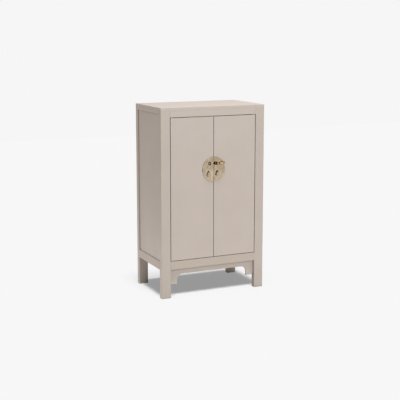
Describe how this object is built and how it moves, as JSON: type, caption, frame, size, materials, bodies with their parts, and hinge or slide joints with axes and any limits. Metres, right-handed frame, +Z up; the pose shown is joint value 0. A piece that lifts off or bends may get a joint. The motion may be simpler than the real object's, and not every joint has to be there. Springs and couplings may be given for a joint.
{
  "type": "cabinet",
  "caption": "Tall lacquered cabinet on straight legs with flush pivoting doors, a round split brass lock plate with sliding pin and drop pulls, inner shelves and a shaped apron.",
  "frame": {"origin": "on the floor, in the middle of the whole part's box, the lock included", "axes": "+X to the right seen from the front, +Y from the doors to the back, +Z up"},
  "size_m": [0.6, 0.381, 1.008],
  "materials": {
    "satin_lacquer": "opaque warm grey-beige satin lacquer over wood",
    "brushed_brass": "pale brushed brass, lightly aged"
  },
  "bodies": {
    "case": {"front_leg_left": "satin_lacquer", "front_leg_right": "satin_lacquer", "rear_leg_left": "satin_lacquer", "rear_leg_right": "satin_lacquer", "front_top_rail": "satin_lacquer", "front_bottom_rail": "satin_lacquer", "rear_top_rail": "satin_lacquer", "rear_bottom_rail": "satin_lacquer", "side_top_rail_left": "satin_lacquer", "side_top_rail_right": "satin_lacquer", "side_bottom_rail_left": "satin_lacquer", "side_bottom_rail_right": "satin_lacquer", "top_board": "satin_lacquer", "side_panel_left": "satin_lacquer", "side_panel_right": "satin_lacquer", "back_panel": "satin_lacquer", "floor_board": "satin_lacquer", "shelf_lower": "satin_lacquer", "shelf_upper": "satin_lacquer", "shelf_bearer_lower_left": "satin_lacquer", "shelf_bearer_lower_right": "satin_lacquer", "shelf_bearer_upper_left": "satin_lacquer", "shelf_bearer_upper_right": "satin_lacquer", "front_apron": "satin_lacquer", "door_stop": "satin_lacquer", "pivot_pin_lower_left": "brushed_brass", "pivot_pin_lower_right": "brushed_brass", "pivot_pin_upper_left": "brushed_brass", "pivot_pin_upper_right": "brushed_brass"},
    "left_door": {"door_left": "satin_lacquer", "lock_plate_left": "brushed_brass", "lock_staple_left": "brushed_brass", "pull_eye_left": "brushed_brass"},
    "right_door": {"door_right": "satin_lacquer", "lock_plate_right": "brushed_brass", "lock_staple_right": "brushed_brass", "pull_eye_right": "brushed_brass"},
    "left_pull": {"drop_pull_left": "brushed_brass"},
    "right_pull": {"drop_pull_right": "brushed_brass"},
    "lock_pin": {"lock_pin": "brushed_brass"}
  },
  "joints": [
    {"name": "left_door_hinge", "type": "hinge", "parent": "case", "child": "left_door", "pos_m": [-0.238, -0.1605, 0.577], "axis": [0, 0, -1], "range_deg": [0, 110]},
    {"name": "right_door_hinge", "type": "hinge", "parent": "case", "child": "right_door", "pos_m": [0.238, -0.1605, 0.577], "axis": [0, 0, 1], "range_deg": [0, 110]},
    {"name": "left_pull_swing", "type": "hinge", "parent": "left_door", "child": "left_pull", "pos_m": [-0.0315, -0.1735, 0.6638], "axis": [-1, 0, 0], "range_deg": [0, 90]},
    {"name": "right_pull_swing", "type": "hinge", "parent": "right_door", "child": "right_pull", "pos_m": [0.021, -0.1735, 0.6638], "axis": [-1, 0, 0], "range_deg": [0, 90]},
    {"name": "lock_pin_slide", "type": "slide", "parent": "right_door", "child": "lock_pin", "axis": [1, 0, 0], "range_m": [-0.0335, 0.009]}
  ]
}
